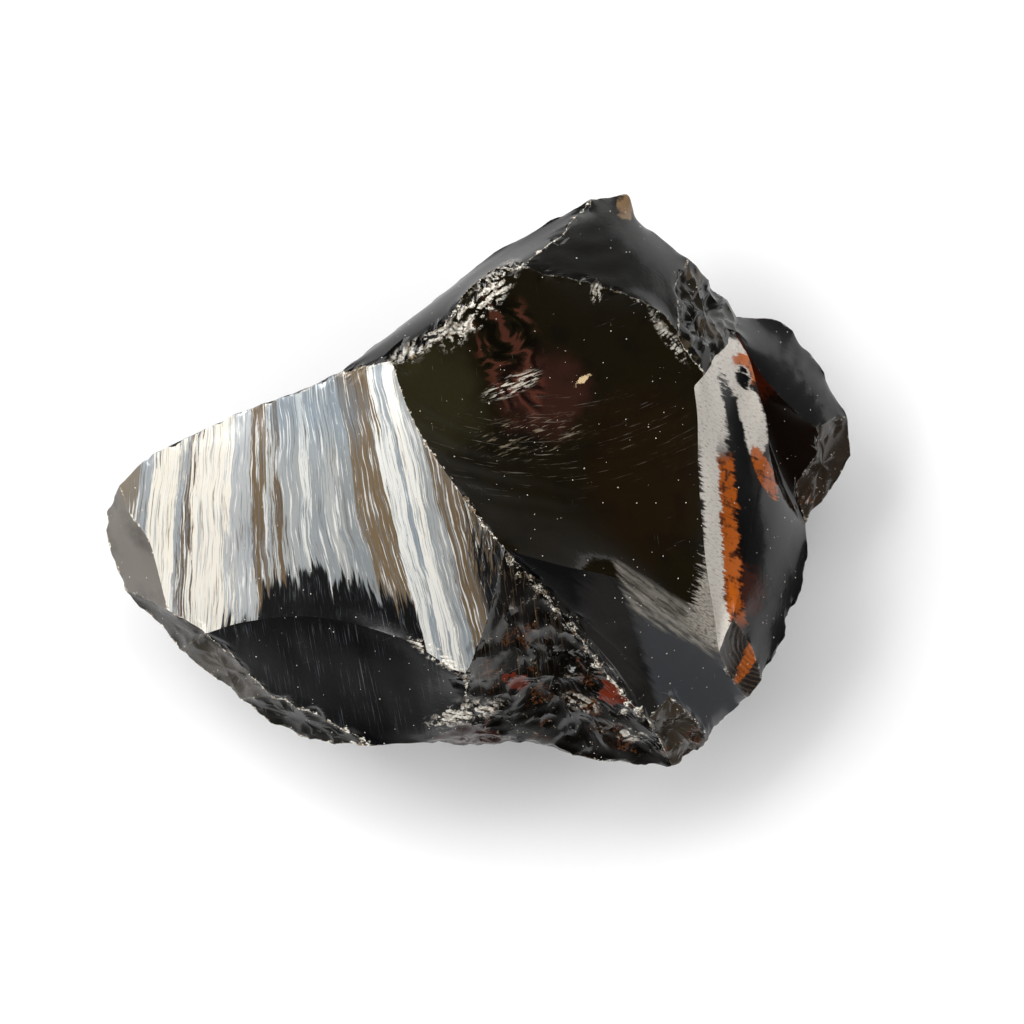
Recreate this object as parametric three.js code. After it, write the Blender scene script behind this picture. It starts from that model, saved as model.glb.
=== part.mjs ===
import * as THREE from 'three';

// Obsidian chunk: one piece of black volcanic glass, in millimetres.
// It lies on its flattest break at z = 0, with its widest span along X and its ribbed face to the left.
// Each break surface is a skin stretched over a closed loop of creases, and swells or dips in the middle.
// The corners, creases and faces are listed first. The steps that turn them into one closed solid follow.

const CREASE_STEP = 2.2; // distance between points along a crease
const RING_STEP = 2.4; // distance between the rings of points that fill a face
const FEWEST_RINGS = 2;

const corners = {
  // outline of the chunk seen from above, clockwise from the west
  west_tip: [-31.3, -2.1, 9],
  west_top: [-30.1, 0.1, 10.9],
  shoulder: [-27.5, 2.7, 12.2],
  brow: [-11.4, 9.4, 20.6],
  flank_1: [-5.6, 13.8, 18.4],
  flank_2: [1.4, 19.3, 18.6],
  apex: [9.3, 23.7, 17.9],
  apex_chip: [13, 22.2, 16.8],
  top_right: [17.5, 18.8, 16.4],
  chips_top: [19.8, 16.8, 14.8],
  notch_top: [21.6, 14.2, 12],
  lobe_1: [26.4, 13.1, 10.2],
  lobe_2: [29.1, 9.6, 9.4],
  lobe_3: [31.1, 5.7, 8.8],
  lobe_4: [31.4, 2.6, 8.2],
  notch_low: [27.5, -3.1, 9.8],
  right_1: [27.6, -4.9, 11],
  right_2: [26.8, -9.9, 12],
  leaf_low: [23.7, -16.2, 12.2],
  leaf_foot: [22.6, -17.8, 11.2],
  slope_foot: [19.6, -21.2, 11],
  tip: [16.4, -23.8, 10.6],
  under_1: [10.3, -23.1, 12],
  lip_right: [3.5, -21.4, 13.6],
  lip_left: [-4.5, -21.3, 14.8],
  keel: [-8.9, -21.6, 15.2],
  strip_1: [-14.9, -21, 12.2],
  strip_2: [-20, -17.8, 11],
  strip_3: [-25.1, -13.7, 10],
  strip_4: [-29.8, -8.7, 9],
  // corners inside the outline
  ridge_top: [-7, 10.2, 22.8],
  ridge_high: [-1.1, -1, 25.4],
  ridge_mid: [2.2, -5.2, 24.9],
  ridge_low: [7.8, -11.8, 20.9],
  ridge_foot: [14.1, -19.6, 14.9],
  arc_left: [3.4, 18, 23.3],
  arc_right: [16.5, 12.6, 21.2],
  arc_end: [18.7, 9.2, 20],
  edge_top: [17.8, 8.2, 19.9],
  beak: [21.7, 12.7, 14.6],
  crest_mid: [24.2, 2.9, 14.9],
  leaf_left: [20, -13.7, 15.9],
  leaf_top: [21.1, -10.9, 17],
  lobe_corner: [28.4, 4.9, 11.8],
  tip_1: [16, -17.5, 15.4],
  bevel_1: [-26, -10.3, 12.4],
  bevel_2: [-22.8, -12.3, 13.6],
  bevel_3: [-17.2, -17.7, 14],
  saddle: [-1, -15.6, 21.5],
  lip_top: [-0.9, -19.7, 16.6],
  // the flat break that it lies on
  base_1: [-19, -7, 0],
  base_2: [-13, -15, 0],
  base_3: [0, -17, 0],
  base_4: [13, -15, 0],
  base_5: [20, -8, 0],
  base_6: [21, 3, 0],
  base_7: [13, 12, 0],
  base_8: [1, 11.5, 0],
  base_9: [-12, 5, 0],
};

// Creases that aren't straight: two corners and the points that the crease bends through between them.
const bentCreases = [
  ['west_top', 'bevel_1', [-29.2, -2.3, 11.3], [-27.5, -4.8, 11.9]],
  ['shoulder', 'brow', [-24, 4.2, 14], [-19.8, 6.2, 16], [-14.7, 7.9, 18.8]],
  ['brow', 'ridge_top', [-9, 9.8, 22]],
  ['flank_1', 'flank_2', [-1.9, 16.7, 18.6]],
  ['flank_2', 'apex', [5.4, 21.6, 18.6], [7.7, 22.8, 18.2]],
  ['apex', 'apex_chip', [10.9, 23.9, 17.1], [12.3, 24.2, 16.7], [12.8, 23.2, 16.7]],
  ['ridge_top', 'arc_left', [-4, 11.8, 23.2], [-2.5, 13.7, 23.3], [-0.4, 16.6, 23.3], [1.5, 18.1, 23.3]],
  ['arc_left', 'apex', [6.6, 20.4, 21.2], [7.9, 22.1, 19.5]],
  ['arc_left', 'arc_right', [5.8, 17.3, 23.6], [8.4, 16.8, 23.6], [12, 15.7, 23], [14.9, 14.3, 22]],
  ['arc_right', 'top_right', [16.5, 15.6, 19.7], [17.1, 17.7, 17.8]],
  ['arc_right', 'arc_end', [17.4, 11, 20.8]],
  ['arc_end', 'beak', [19.8, 10.7, 18.4]],
  ['ridge_top', 'ridge_high', [-5.7, 6.3, 23.9], [-3.9, 3, 24.7]],
  ['ridge_high', 'ridge_mid', [0.8, -3.5, 25.3]],
  ['ridge_mid', 'ridge_low', [5.6, -9.1, 22.8]],
  ['ridge_low', 'ridge_foot', [9.9, -14.7, 18.9], [11.5, -16.8, 17.3]],
  ['ridge_foot', 'tip', [15.3, -21.5, 13]],
  ['ridge_mid', 'leaf_left', [6.8, -6.5, 23.3], [11.7, -7.7, 21.6], [15.4, -10.2, 19.6]],
  ['ridge_mid', 'saddle', [1.3, -9.2, 24.3], [0.1, -12.9, 23]],
  ['saddle', 'lip_top', [-0.9, -17.5, 19]],
  ['bevel_2', 'saddle', [-19, -11.2, 15.9], [-13.1, -10.8, 18.8], [-6.4, -12.5, 21.2]],
  ['bevel_2', 'bevel_3', [-19.5, -15.4, 13.9]],
  ['bevel_3', 'keel', [-13.6, -19.1, 14.9], [-10.7, -20.6, 15.3]],
  ['edge_top', 'leaf_left', [18.1, 5.5, 19.8], [18.2, 0.6, 19.2], [18.8, -6, 18.3], [19.5, -10.2, 17.2]],
  ['leaf_left', 'leaf_foot', [20.7, -15.4, 14.2], [21.6, -16.7, 12.7]],
  ['leaf_top', 'leaf_low', [22.1, -12.3, 15.6], [23.1, -14, 14.2]],
  ['leaf_top', 'crest_mid', [22.3, -6, 16.4], [23.1, -1.1, 15.9]],
  ['beak', 'crest_mid', [22.6, 10.4, 15.4], [23.4, 7.4, 15.8], [24, 5.6, 15.5]],
  ['crest_mid', 'notch_low', [24.9, 0.4, 13.8], [26.1, -1.7, 11.8]],
  ['beak', 'lobe_corner', [23.6, 9.3, 14], [26.3, 6.5, 12.8]],
  ['lobe_corner', 'notch_low', [28.7, 3.5, 11.4], [28, 2, 11], [27, 0.2, 10.4]],
  ['lobe_3', 'lobe_corner', [30.2, 5.9, 10]],
  ['tip_1', 'slope_foot', [18.1, -19.6, 13.6]],
  ['chips_top', 'notch_top', [20.9, 15.4, 12.4]],
  ['notch_top', 'lobe_1', [22.8, 14.2, 11.2], [25.1, 14, 10.6]],
  ['lobe_1', 'lobe_2', [27.1, 12, 10], [28.1, 11, 9.6]],
  ['lobe_2', 'lobe_3', [29.7, 8.1, 9.2], [30.8, 6.4, 9]],
  ['lobe_4', 'notch_low', [30.8, 1.1, 8.3], [29.9, -0.3, 8.4], [28.5, -1.8, 9.2]],
  ['right_1', 'right_2', [27.5, -7.2, 11.6]],
  ['right_2', 'leaf_low', [26.1, -11.3, 12.1], [25.3, -13.5, 12.2], [24.3, -15.4, 12.2]],
  ['leaf_foot', 'slope_foot', [21.5, -18.7, 11.4], [20.9, -19.5, 11.3]],
  ['slope_foot', 'tip', [19, -22.1, 10.9], [17.8, -22.9, 10.7]],
  ['tip', 'under_1', [15.2, -23.4, 10.9], [12.8, -23.4, 11.4]],
  ['under_1', 'lip_right', [8, -22.5, 12.4], [5.6, -21.9, 12.7]],
  ['lip_left', 'lip_right', [-0.7, -21.7, 11.8]],
  ['strip_1', 'keel', [-12, -21.6, 13.8]],
  ['strip_2', 'strip_1', [-17.5, -19.7, 11.7]],
  ['strip_3', 'strip_2', [-22.5, -15.8, 10.5]],
  ['strip_4', 'strip_3', [-28.5, -10.2, 9.3], [-26.8, -11.7, 9.7]],
  ['west_tip', 'strip_4', [-31.3, -4.4, 8.8], [-30.6, -6.6, 8.9]],
];

// Break surfaces: the swell of the middle (out is positive), then the corners, anticlockwise from outside.
const faces = {
  ribbed: [0.9, 'west_top', 'bevel_1', 'bevel_2', 'saddle', 'ridge_mid', 'ridge_high', 'ridge_top', 'brow',
    'shoulder'],
  black_foot: [0.7, 'bevel_2', 'bevel_3', 'keel', 'lip_left', 'lip_top', 'saddle'],
  bevel_west: [0, 'west_top', 'west_tip', 'strip_4', 'bevel_1'],
  bevel_strip_1: [-0.1, 'bevel_1', 'strip_4', 'strip_3', 'bevel_2'],
  bevel_strip_2: [-0.1, 'bevel_2', 'strip_3', 'strip_2', 'bevel_3'],
  bevel_strip_3: [-0.1, 'bevel_3', 'strip_2', 'strip_1', 'keel'],
  flank: [0.4, 'brow', 'ridge_top', 'arc_left', 'apex', 'flank_2', 'flank_1'],
  bowl: [-2.2, 'ridge_top', 'ridge_high', 'ridge_mid', 'leaf_left', 'edge_top', 'arc_end', 'arc_right',
    'arc_left'],
  slope: [0.3, 'ridge_mid', 'tip_1', 'slope_foot', 'leaf_foot', 'leaf_left'],
  slope_edge: [0.1, 'ridge_mid', 'ridge_low', 'ridge_foot', 'tip_1'],
  top: [0.8, 'arc_left', 'arc_right', 'top_right', 'apex_chip', 'apex'],
  smoky_chips: [0.3, 'arc_right', 'arc_end', 'beak', 'notch_top', 'chips_top', 'top_right'],
  banded: [0.3, 'arc_end', 'edge_top', 'leaf_left', 'leaf_top', 'crest_mid', 'beak'],
  lens: [0.4, 'leaf_top', 'leaf_low', 'right_2', 'right_1', 'notch_low', 'crest_mid'],
  leaf: [-0.3, 'leaf_left', 'leaf_foot', 'leaf_low', 'leaf_top'],
  tip_chips: [0.2, 'ridge_foot', 'tip', 'slope_foot', 'tip_1'],
  crumbled: [-0.4, 'ridge_mid', 'saddle', 'lip_top', 'lip_right', 'under_1', 'tip', 'ridge_foot',
    'ridge_low'],
  lip: [0, 'lip_top', 'lip_left', 'lip_right'],
  lobe_top: [0.5, 'beak', 'lobe_corner', 'lobe_3', 'lobe_2', 'lobe_1', 'notch_top'],
  lobe_wall: [-1.4, 'beak', 'crest_mid', 'notch_low', 'lobe_corner'],
  lobe_end: [-0.2, 'lobe_corner', 'notch_low', 'lobe_4', 'lobe_3'],
  back_ribbed: [0.5, 'shoulder', 'brow', 'base_9'],
  back_west: [0.6, 'shoulder', 'base_9', 'base_1', 'strip_4', 'west_tip', 'west_top'],
  back_strip: [0.5, 'strip_4', 'base_1', 'base_2', 'strip_1', 'strip_2', 'strip_3'],
  back_keel: [0.5, 'strip_1', 'base_2', 'base_3', 'lip_right', 'lip_left', 'keel'],
  back_tip: [0.5, 'lip_right', 'base_3', 'base_4', 'tip', 'under_1'],
  back_slope: [0.5, 'tip', 'base_4', 'base_5', 'leaf_low', 'leaf_foot', 'slope_foot'],
  back_right: [0.5, 'leaf_low', 'base_5', 'base_6', 'notch_low', 'right_1', 'right_2'],
  back_lobe: [0.3, 'notch_low', 'base_6', 'base_7', 'notch_top', 'lobe_1', 'lobe_2', 'lobe_3', 'lobe_4'],
  back_top: [0.6, 'notch_top', 'base_7', 'base_8', 'apex', 'apex_chip', 'top_right', 'chips_top'],
  back_flank: [0.4, 'apex', 'base_8', 'flank_1', 'flank_2'],
  back_brow: [0.4, 'flank_1', 'base_8', 'base_9', 'brow'],
  base: [0, 'base_1', 'base_9', 'base_8', 'base_7', 'base_6', 'base_5', 'base_4', 'base_3', 'base_2'],
};

const points = [];
const triangles = [];
const creases = new Map();

// Adds a point to the solid and gives its number.
function addPoint(point) {
  points.push(point);
  return points.length - 1;
}

// The numbers of the points along the crease from one corner to another, both corners included.
function creaseBetween(start, end) {
  return creases.get(`${start} ${end}`) ?? makeCrease(start, end);
}

// Makes a crease as a smooth curve through its corners and bends, with evenly spaced points.
function makeCrease(start, end) {
  const forward = bentCreases.find((crease) => crease[0] === start && crease[1] === end);
  const backward = bentCreases.find((crease) => crease[0] === end && crease[1] === start);
  const bends = forward?.slice(2) ?? backward?.slice(2).reverse() ?? [];
  const stops = [points[cornerNumber[start]], ...bends.map((bend) => new THREE.Vector3(...bend)),
    points[cornerNumber[end]]];
  const curve = new THREE.CatmullRomCurve3(stops, false, 'catmullrom', 0.5);
  const parts = Math.max(1, Math.round(curve.getLength() / CREASE_STEP));
  const between = curve.getSpacedPoints(parts).slice(1, -1);
  const numbers = [cornerNumber[start], ...between.map(addPoint), cornerNumber[end]];
  creases.set(`${start} ${end}`, numbers);
  creases.set(`${end} ${start}`, [...numbers].reverse());
  return numbers;
}

// How much each loop point counts in a ring point that is a number of steps round from it.
// The loop is a sum of waves, and a wave with more turns round the loop fades faster towards the middle.
function ringWeights(count, reach) {
  const weights = [];
  for (let step = 0; step < count; step++) {
    let weight = 1;
    for (let turns = 1; turns <= (count - 1) / 2; turns++) {
      weight += 2 * reach ** turns * Math.cos((2 * Math.PI * turns * step) / count);
    }
    weights.push(weight / count);
  }
  return weights;
}

// Fills a closed loop of creases with rings of points that shrink to its middle.
function stretchFace(swell, names) {
  const loop = names.flatMap((name, i) => creaseBetween(name, names[(i + 1) % names.length]).slice(0, -1));
  const count = loop.length;
  const areaVector = new THREE.Vector3();
  let perimeter = 0;
  loop.forEach((number, i) => {
    const here = points[number];
    const next = points[loop[(i + 1) % count]];
    areaVector.addScaledVector(new THREE.Vector3().crossVectors(here, next), 0.5);
    perimeter += here.distanceTo(next);
  });
  const meanWidth = (2 * areaVector.length()) / perimeter;
  const outward = areaVector.normalize();
  const rings = Math.max(FEWEST_RINGS, Math.round(meanWidth / RING_STEP));

  let outer = loop;
  for (let ring = rings - 1; ring > 0; ring--) {
    const reach = ring / rings;
    const weights = ringWeights(count, reach);
    const inner = loop.map((_, i) => {
      const point = outward.clone().multiplyScalar(swell * (1 - reach ** 2));
      loop.forEach((number, j) => point.addScaledVector(points[number], weights[(i - j + count) % count]));
      return point;
    }).map(addPoint);
    for (let i = 0; i < count; i++) {
      const j = (i + 1) % count;
      triangles.push(outer[i], outer[j], inner[j], outer[i], inner[j], inner[i]);
    }
    outer = inner;
  }
  const middle = outward.clone().multiplyScalar(swell);
  loop.forEach((number) => middle.addScaledVector(points[number], 1 / count));
  const hub = addPoint(middle);
  outer.forEach((number, i) => triangles.push(number, outer[(i + 1) % count], hub));
}

const cornerNumber = {};
for (const [name, place] of Object.entries(corners)) {
  cornerNumber[name] = addPoint(new THREE.Vector3(...place));
}
for (const [swell, ...names] of Object.values(faces)) {
  stretchFace(swell, names);
}

// One closed solid, with the middle of its outline over the origin.
const geometry = new THREE.BufferGeometry().setFromPoints(points);
geometry.setIndex(triangles);
geometry.computeBoundingBox();
const centre = geometry.boundingBox.getCenter(new THREE.Vector3());
geometry.translate(-centre.x, -centre.y, -geometry.boundingBox.min.z);
geometry.computeVertexNormals();

const glass = new THREE.MeshStandardMaterial({
  name: 'obsidian',
  color: 0x17160f,
  roughness: 0.12,
  metalness: 0,
  flatShading: true,
});

const chunk = new THREE.Mesh(geometry, glass);
chunk.name = 'obsidian_chunk';

const group = new THREE.Group();
group.add(chunk);

export default group;
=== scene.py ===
import math

import bpy
import numpy as np
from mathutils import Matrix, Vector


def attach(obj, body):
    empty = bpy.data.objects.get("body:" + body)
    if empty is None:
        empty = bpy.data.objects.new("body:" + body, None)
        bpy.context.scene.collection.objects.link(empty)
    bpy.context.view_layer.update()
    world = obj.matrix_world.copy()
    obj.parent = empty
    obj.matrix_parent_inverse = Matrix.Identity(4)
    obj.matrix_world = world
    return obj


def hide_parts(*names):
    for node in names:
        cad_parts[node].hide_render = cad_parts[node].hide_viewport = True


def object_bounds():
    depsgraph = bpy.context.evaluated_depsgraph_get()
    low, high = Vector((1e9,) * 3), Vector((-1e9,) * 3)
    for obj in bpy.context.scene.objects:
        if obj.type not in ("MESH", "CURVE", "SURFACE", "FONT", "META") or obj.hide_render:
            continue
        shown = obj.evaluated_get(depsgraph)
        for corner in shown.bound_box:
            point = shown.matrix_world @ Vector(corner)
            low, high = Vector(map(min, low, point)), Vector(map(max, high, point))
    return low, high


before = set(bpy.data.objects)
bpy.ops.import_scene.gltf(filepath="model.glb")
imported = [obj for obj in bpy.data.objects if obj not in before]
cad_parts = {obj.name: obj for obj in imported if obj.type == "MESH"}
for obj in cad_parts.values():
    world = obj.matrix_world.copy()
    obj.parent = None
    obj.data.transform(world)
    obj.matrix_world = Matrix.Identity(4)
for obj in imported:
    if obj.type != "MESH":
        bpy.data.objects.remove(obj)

# The stone is drawn below in millimetres. The frame says how long a drawn millimetre is, and where the stone lies.
DRAWN_WIDTH = 62.7
CAD_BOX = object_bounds()
CAD_LOW, CAD_HIGH = (np.array(corner, float) for corner in CAD_BOX)
MM = (CAD_HIGH[0] - CAD_LOW[0]) / DRAWN_WIDTH
CAD_MIDDLE = (CAD_LOW + CAD_HIGH) / 2

# ---------------------------------------------------------------- the drawing: corners, creases, break faces

CORNERS = {
    # outline of the chunk seen from above, clockwise from the west
    "west_tip": (-31.3, -2.1, 9),
    "west_top": (-30.1, 0.1, 10.9),
    "shoulder": (-27.5, 2.7, 12.2),
    "brow": (-11.4, 9.4, 20.6),
    "flank_1": (-5.6, 13.8, 18.4),
    "flank_2": (1.4, 19.3, 18.6),
    "apex": (9.3, 23.7, 17.9),
    "apex_chip": (13, 22.2, 16.8),
    "top_right": (17.5, 18.8, 16.4),
    "chips_top": (19.8, 16.8, 14.8),
    "notch_top": (21.6, 14.2, 12),
    "lobe_1": (26.4, 13.1, 10.2),
    "lobe_2": (29.1, 9.6, 9.4),
    "lobe_3": (31.1, 5.7, 8.8),
    "lobe_4": (31.4, 2.6, 8.2),
    "notch_low": (27.5, -3.1, 9.8),
    "right_1": (27.6, -4.9, 11),
    "right_2": (26.8, -9.9, 12),
    "leaf_low": (23.7, -16.2, 12.2),
    "leaf_foot": (22.6, -17.8, 11.2),
    "slope_foot": (19.6, -21.2, 11),
    "tip": (16.4, -23.8, 10.6),
    "under_1": (10.3, -23.1, 12),
    "lip_right": (3.5, -21.4, 13.6),
    "lip_left": (-4.5, -21.3, 14.8),
    "keel": (-8.9, -21.6, 15.2),
    "strip_1": (-14.9, -21, 12.2),
    "strip_2": (-20, -17.8, 11),
    "strip_3": (-25.1, -13.7, 10),
    "strip_4": (-29.8, -8.7, 9),
    # corners inside the outline
    "ridge_top": (-7, 10.2, 22.8),
    "ridge_high": (-1.1, -1, 25.4),
    "ridge_mid": (2.2, -5.2, 24.9),
    "ridge_low": (7.8, -11.8, 20.9),
    "ridge_foot": (14.1, -19.6, 14.9),
    "arc_left": (3.4, 18, 23.3),
    "arc_right": (16.5, 12.6, 21.2),
    "arc_end": (18.7, 9.2, 20),
    "edge_top": (17.8, 8.2, 19.9),
    "beak": (21.7, 12.7, 14.6),
    "crest_mid": (24.2, 2.9, 14.9),
    "leaf_left": (20, -13.7, 15.9),
    "leaf_top": (21.1, -10.9, 17),
    "lobe_corner": (28.4, 4.9, 11.8),
    "tip_1": (16, -17.5, 15.4),
    "bevel_1": (-26, -10.3, 12.4),
    "bevel_2": (-22.8, -12.3, 13.6),
    "bevel_3": (-17.2, -17.7, 14),
    "saddle": (-1, -15.6, 21.5),
    "lip_top": (-0.9, -19.7, 16.6),
    # the flat break that it lies on
    "base_1": (-19, -7, 0),
    "base_2": (-13, -15, 0),
    "base_3": (0, -17, 0),
    "base_4": (13, -15, 0),
    "base_5": (20, -8, 0),
    "base_6": (21, 3, 0),
    "base_7": (13, 12, 0),
    "base_8": (1, 11.5, 0),
    "base_9": (-12, 5, 0),
}
# The points that a crease bends through on its way from one corner to the other.
BENDS = {
    "apex apex_chip": [(10.9, 23.9, 17.1), (12.3, 24.2, 16.7), (12.8, 23.2, 16.7)],
    "west_top bevel_1": [(-29.2, -2.3, 11.3), (-27.5, -4.8, 11.9)],
    "shoulder brow": [(-24, 4.2, 14), (-19.8, 6.2, 16), (-14.7, 7.9, 18.8)],
    "brow ridge_top": [(-9, 9.8, 22)],
    "flank_1 flank_2": [(-1.9, 16.7, 18.6)],
    "flank_2 apex": [(5.4, 21.6, 18.6), (7.7, 22.8, 18.2)],
    "ridge_top arc_left": [(-4, 11.8, 23.2), (-2.5, 13.7, 23.3), (-0.4, 16.6, 23.3), (1.5, 18.1, 23.3)],
    "arc_left apex": [(6.6, 20.4, 21.2), (7.9, 22.1, 19.5)],
    "arc_left arc_right": [(5.8, 17.3, 23.6), (8.4, 16.8, 23.6), (12, 15.7, 23), (14.9, 14.3, 22)],
    "arc_right top_right": [(16.5, 15.6, 19.7), (17.1, 17.7, 17.8)],
    "arc_right arc_end": [(17.4, 11, 20.8)],
    "arc_end beak": [(19.8, 10.7, 18.4)],
    "ridge_top ridge_high": [(-5.7, 6.3, 23.9), (-3.9, 3, 24.7)],
    "ridge_high ridge_mid": [(0.8, -3.5, 25.3)],
    "ridge_mid ridge_low": [(5.6, -9.1, 22.8)],
    "ridge_low ridge_foot": [(9.9, -14.7, 18.9), (11.5, -16.8, 17.3)],
    "ridge_foot tip": [(15.3, -21.5, 13)],
    "ridge_mid leaf_left": [(6.8, -6.5, 23.3), (11.7, -7.7, 21.6), (15.4, -10.2, 19.6)],
    "ridge_mid saddle": [(1.3, -9.2, 24.3), (0.1, -12.9, 23)],
    "saddle lip_top": [(-0.9, -17.5, 19)],
    "bevel_2 saddle": [(-19, -11.2, 15.9), (-13.1, -10.8, 18.8), (-6.4, -12.5, 21.2)],
    "bevel_2 bevel_3": [(-19.5, -15.4, 13.9)],
    "bevel_3 keel": [(-13.6, -19.1, 14.9), (-10.7, -20.6, 15.3)],
    "edge_top leaf_left": [(18.1, 5.5, 19.8), (18.2, 0.6, 19.2), (18.8, -6, 18.3), (19.5, -10.2, 17.2)],
    "leaf_left leaf_foot": [(20.7, -15.4, 14.2), (21.6, -16.7, 12.7)],
    "leaf_top leaf_low": [(22.1, -12.3, 15.6), (23.1, -14, 14.2)],
    "leaf_top crest_mid": [(22.3, -6, 16.4), (23.1, -1.1, 15.9)],
    "beak crest_mid": [(22.6, 10.4, 15.4), (23.4, 7.4, 15.8), (24, 5.6, 15.5)],
    "crest_mid notch_low": [(24.9, 0.4, 13.8), (26.1, -1.7, 11.8)],
    "beak lobe_corner": [(23.6, 9.3, 14), (26.3, 6.5, 12.8)],
    "lobe_corner notch_low": [(28.7, 3.5, 11.4), (28, 2, 11), (27, 0.2, 10.4)],
    "lobe_3 lobe_corner": [(30.2, 5.9, 10)],
    "tip_1 slope_foot": [(18.1, -19.6, 13.6)],
    "chips_top notch_top": [(20.9, 15.4, 12.4)],
    "notch_top lobe_1": [(22.8, 14.2, 11.2), (25.1, 14, 10.6)],
    "lobe_1 lobe_2": [(27.1, 12, 10), (28.1, 11, 9.6)],
    "lobe_2 lobe_3": [(29.7, 8.1, 9.2), (30.8, 6.4, 9)],
    "lobe_4 notch_low": [(30.8, 1.1, 8.3), (29.9, -0.3, 8.4), (28.5, -1.8, 9.2)],
    "right_1 right_2": [(27.5, -7.2, 11.6)],
    "right_2 leaf_low": [(26.1, -11.3, 12.1), (25.3, -13.5, 12.2), (24.3, -15.4, 12.2)],
    "leaf_foot slope_foot": [(21.5, -18.7, 11.4), (20.9, -19.5, 11.3)],
    "slope_foot tip": [(19, -22.1, 10.9), (17.8, -22.9, 10.7)],
    "tip under_1": [(15.2, -23.4, 10.9), (12.8, -23.4, 11.4)],
    "under_1 lip_right": [(8, -22.5, 12.4), (5.6, -21.9, 12.7)],
    "lip_left lip_right": [(-0.7, -21.7, 11.8)],
    "strip_1 keel": [(-12, -21.6, 13.8)],
    "strip_2 strip_1": [(-17.5, -19.7, 11.7)],
    "strip_3 strip_2": [(-22.5, -15.8, 10.5)],
    "strip_4 strip_3": [(-28.5, -10.2, 9.3), (-26.8, -11.7, 9.7)],
    "west_tip strip_4": [(-31.3, -4.4, 8.8), (-30.6, -6.6, 8.9)],
}
# The break faces: how far the middle of each swells out, in millimetres, and the corners round it.
FACES = {
    "ribbed": (0.9, "west_top bevel_1 bevel_2 saddle ridge_mid ridge_high ridge_top brow shoulder"),
    "black_foot": (0.7, "bevel_2 bevel_3 keel lip_left lip_top saddle"),
    "bevel_west": (0, "west_top west_tip strip_4 bevel_1"),
    "bevel_strip_1": (-0.1, "bevel_1 strip_4 strip_3 bevel_2"),
    "bevel_strip_2": (-0.1, "bevel_2 strip_3 strip_2 bevel_3"),
    "bevel_strip_3": (-0.1, "bevel_3 strip_2 strip_1 keel"),
    "flank": (0.4, "brow ridge_top arc_left apex flank_2 flank_1"),
    "bowl": (-2.2, "ridge_top ridge_high ridge_mid leaf_left edge_top arc_end arc_right arc_left"),
    "slope": (0.3, "ridge_mid tip_1 slope_foot leaf_foot leaf_left"),
    "slope_edge": (0.1, "ridge_mid ridge_low ridge_foot tip_1"),
    "top": (0.8, "arc_left arc_right top_right apex_chip apex"),
    "smoky_chips": (0.3, "arc_right arc_end beak notch_top chips_top top_right"),
    "banded": (0.3, "arc_end edge_top leaf_left leaf_top crest_mid beak"),
    "lens": (0.4, "leaf_top leaf_low right_2 right_1 notch_low crest_mid"),
    "leaf": (-0.3, "leaf_left leaf_foot leaf_low leaf_top"),
    "tip_chips": (0.2, "ridge_foot tip slope_foot tip_1"),
    "crumbled": (-0.4, "ridge_mid saddle lip_top lip_right under_1 tip ridge_foot ridge_low"),
    "lip": (0, "lip_top lip_left lip_right"),
    "lobe_top": (0.5, "beak lobe_corner lobe_3 lobe_2 lobe_1 notch_top"),
    "lobe_wall": (-1.4, "beak crest_mid notch_low lobe_corner"),
    "lobe_end": (-0.2, "lobe_corner notch_low lobe_4 lobe_3"),
    "back_ribbed": (0.8, "shoulder brow base_9"),
    "back_west": (0.6, "shoulder base_9 base_1 strip_4 west_tip west_top"),
    "back_strip": (0.5, "strip_4 base_1 base_2 strip_1 strip_2 strip_3"),
    "back_keel": (-0.7, "strip_1 base_2 base_3 lip_right lip_left keel"),
    "back_tip": (0.5, "lip_right base_3 base_4 tip under_1"),
    "back_slope": (-0.5, "tip base_4 base_5 leaf_low leaf_foot slope_foot"),
    "back_right": (0.8, "leaf_low base_5 base_6 notch_low right_1 right_2"),
    "back_lobe": (0.3, "notch_low base_6 base_7 notch_top lobe_1 lobe_2 lobe_3 lobe_4"),
    "back_top": (0.6, "notch_top base_7 base_8 apex apex_chip top_right chips_top"),
    "back_flank": (0.4, "apex base_8 flank_1 flank_2"),
    "back_brow": (-0.6, "flank_1 base_8 base_9 brow"),
    "base": (0, "base_1 base_9 base_8 base_7 base_6 base_5 base_4 base_3 base_2"),
}

# Creases that only turn gently: no chips on them, and the shine runs over them.
GENTLE = {"ridge_mid leaf_left", "ridge_mid tip_1", "leaf_top crest_mid", "bevel_2 saddle", "arc_end edge_top"}
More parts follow.
